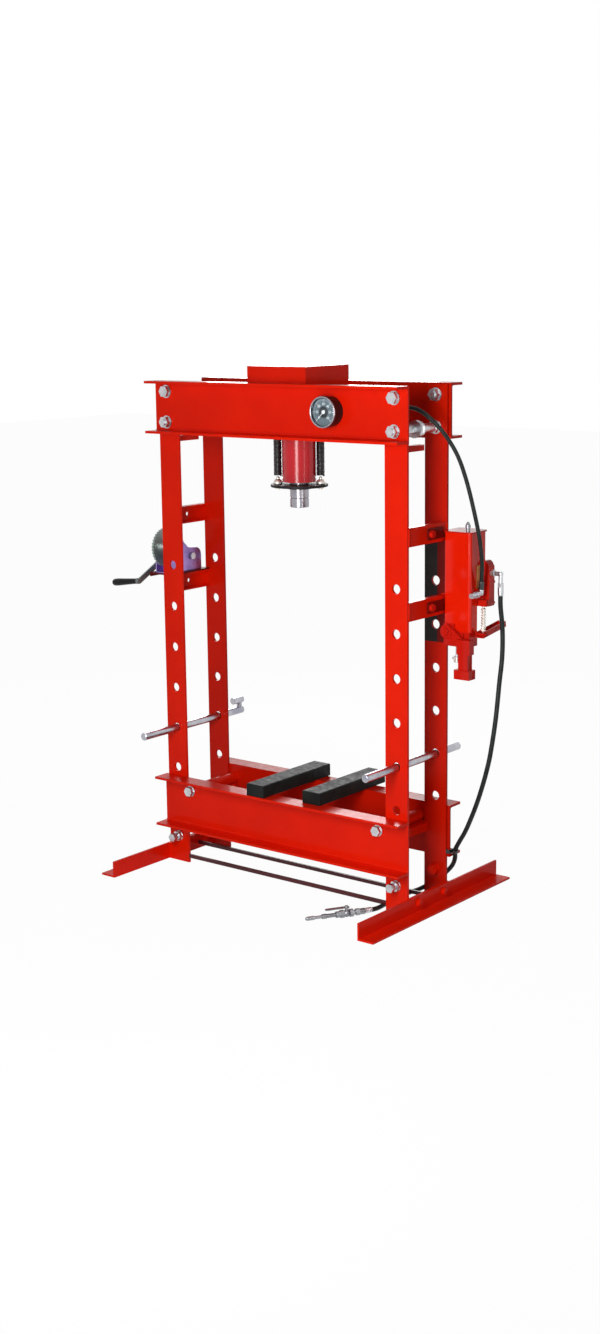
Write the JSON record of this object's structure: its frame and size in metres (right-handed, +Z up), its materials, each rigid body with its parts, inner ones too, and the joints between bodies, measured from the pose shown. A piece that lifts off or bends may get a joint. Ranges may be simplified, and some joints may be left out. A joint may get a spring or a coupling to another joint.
{
  "type": "pneumatic hydraulic shop press",
  "caption": "Floor-standing H-frame shop press with a hydraulic cylinder, air-driven pump, pressure gauge, height-adjustable bed on pins and a hand winch.",
  "frame": {"origin": "on the floor, at the middle of the frame between its four posts", "axes": "+X to the right as seen from the front, towards the pump; +Y to the back; +Z up"},
  "size_m": [1.5133, 0.836, 1.835],
  "materials": {
    "red_paint": "gloss",
    "cylinder_red": "gloss",
    "dark_red_paint": "gloss",
    "zinc": "zinc plated",
    "dark_steel": "satin",
    "spring_steel": "satin",
    "chromed_steel": "polished",
    "pin_steel": "zinc plated",
    "dial_grey": "matt",
    "needle_black": "matt",
    "grip_black": "gloss",
    "hose_rubber": "satin",
    "sight_bronze": "satin"
  },
  "bodies": {
    "frame": {"upper_beam_front": "red_paint", "upper_beam_back": "red_paint", "post_front_left": "red_paint", "post_back_left": "red_paint", "post_front_right": "red_paint", "post_back_right": "red_paint", "side_ties_left": "red_paint", "side_ties_right": "red_paint", "foot_left": "red_paint", "foot_right": "red_paint", "floor_bars": "dark_red_paint", "beam_bolts": "zinc", "base_bolts": "zinc", "head_box": "red_paint", "cylinder_barrel": "cylinder_red", "spring_left": "spring_steel", "spring_right": "spring_steel", "gauge_case": "dark_steel", "gauge_bezel": "chromed_steel", "gauge_dial": "dial_grey", "oil_fittings": "zinc", "winch_shelf": "red_paint", "winch_frame": "pin_steel", "pump_straps": "dark_red_paint", "pump_reservoir": "red_paint", "reservoir_lid": "dark_red_paint", "sight_gauge": "sight_bronze", "pump_base": "dark_red_paint", "air_motor": "dark_red_paint", "air_elbow": "zinc", "pump_elbow": "zinc", "oil_hose": "hose_rubber", "air_hose": "hose_rubber", "hose_clip": "dark_steel", "air_inlet": "zinc", "quick_plug": "zinc"},
    "ram": {"ram_rod": "chromed_steel", "ram_cap": "dark_steel", "spring_plate": "dark_steel", "spring_eyes": "dark_steel"},
    "needle": {"gauge_needle": "needle_black"},
    "bed": {"bed_channel_front": "red_paint", "bed_channel_back": "red_paint", "bed_spacers": "red_paint", "press_block_left": "dark_steel", "press_block_right": "dark_steel"},
    "pin_left": {"bed_pin_left": "pin_steel"},
    "pin_right": {"bed_pin_right": "pin_steel"},
    "drum": {"winch_drum": "zinc", "winch_gear": "pin_steel"},
    "crank": {"crank_shaft": "zinc", "crank_arm": "pin_steel"},
    "grip": {"crank_grip": "grip_black"},
    "wheel_left": {"sheave_left": "pin_steel"},
    "wheel_right": {"sheave_right": "pin_steel"},
    "socket": {"handle_socket": "red_paint"},
    "pedal": {"treadle": "red_paint"},
    "plunger": {"pump_plunger": "chromed_steel"},
    "release": {"release_knob": "zinc"},
    "lever": {"valve_lever": "zinc"}
  },
  "joints": [
    {"name": "ram_slide", "type": "slide", "parent": "frame", "child": "ram", "axis": [0, 0, -1], "range_m": [0, 0.15], "stiffness_N_per_m": 4000, "springref_m": -0.12, "deforming": ["spring_left", "spring_right"]},
    {"name": "bed_lift", "type": "slide", "parent": "frame", "child": "bed", "axis": [0, 0, 1], "range_m": [0, 0.16]},
    {"name": "pin_left_slide", "type": "slide", "parent": "frame", "child": "pin_left", "axis": [0, 1, 0], "range_m": [0, 0.4]},
    {"name": "pin_right_slide", "type": "slide", "parent": "frame", "child": "pin_right", "axis": [0, -1, 0], "range_m": [0, 0.35]},
    {"name": "needle_turn", "type": "hinge", "parent": "frame", "child": "needle", "pos_m": [0.24, -0.167, 1.691], "axis": [0, 1, 0], "range_deg": [0, 270], "stiffness_Nm_per_rad": 0.005, "springref_deg": -28.65},
    {"name": "drum_spin", "type": "hinge", "parent": "frame", "child": "drum", "pos_m": [-0.56, -0.058, 1.17], "axis": [1, 0, 0], "continuous": true},
    {"name": "crank_spin", "type": "hinge", "parent": "frame", "child": "crank", "pos_m": [-0.56, 0.02082, 1.132], "axis": [1, 0, 0], "continuous": true},
    {"name": "grip_spin", "type": "hinge", "parent": "crank", "child": "grip", "pos_m": [-0.647, -0.1418, 1.04807], "axis": [-0.9925, 0, -0.1219], "continuous": true},
    {"name": "wheel_left_spin", "type": "hinge", "parent": "frame", "child": "wheel_left", "pos_m": [-0.496, -0.006, 1.6335], "axis": [0, 1, 0], "continuous": true},
    {"name": "wheel_right_spin", "type": "hinge", "parent": "frame", "child": "wheel_right", "pos_m": [0.496, -0.006, 1.6335], "axis": [0, 1, 0], "continuous": true},
    {"name": "socket_swing", "type": "hinge", "parent": "frame", "child": "socket", "pos_m": [0.573, 0.067, 0.956], "axis": [0, -1, 0], "range_deg": [0, 45]},
    {"name": "treadle_press", "type": "hinge", "parent": "frame", "child": "pedal", "pos_m": [0.67, 0.126, 0.946], "axis": [-1, 0, 0], "range_deg": [0, 10], "stiffness_Nm_per_rad": 6, "springref_deg": -17.19},
    {"name": "plunger_slide", "type": "slide", "parent": "frame", "child": "plunger", "axis": [0, 0, -1], "range_m": [0, 0.0035]},
    {"name": "release_turn", "type": "hinge", "parent": "frame", "child": "release", "pos_m": [0.591, 0.102, 0.88], "axis": [0, 0, 1], "range_deg": [0, 180]},
    {"name": "valve_lever_turn", "type": "hinge", "parent": "frame", "child": "lever", "pos_m": [0.38301, -0.25457, 0.033], "axis": [0, 0, 1], "range_deg": [0, 90]}
  ],
  "couplings": [
    {"joint": "crank_spin", "follows": "drum_spin", "ratio": -4},
    {"joint": "plunger_slide", "follows": "treadle_press", "m_per_rad": 0.018}
  ]
}
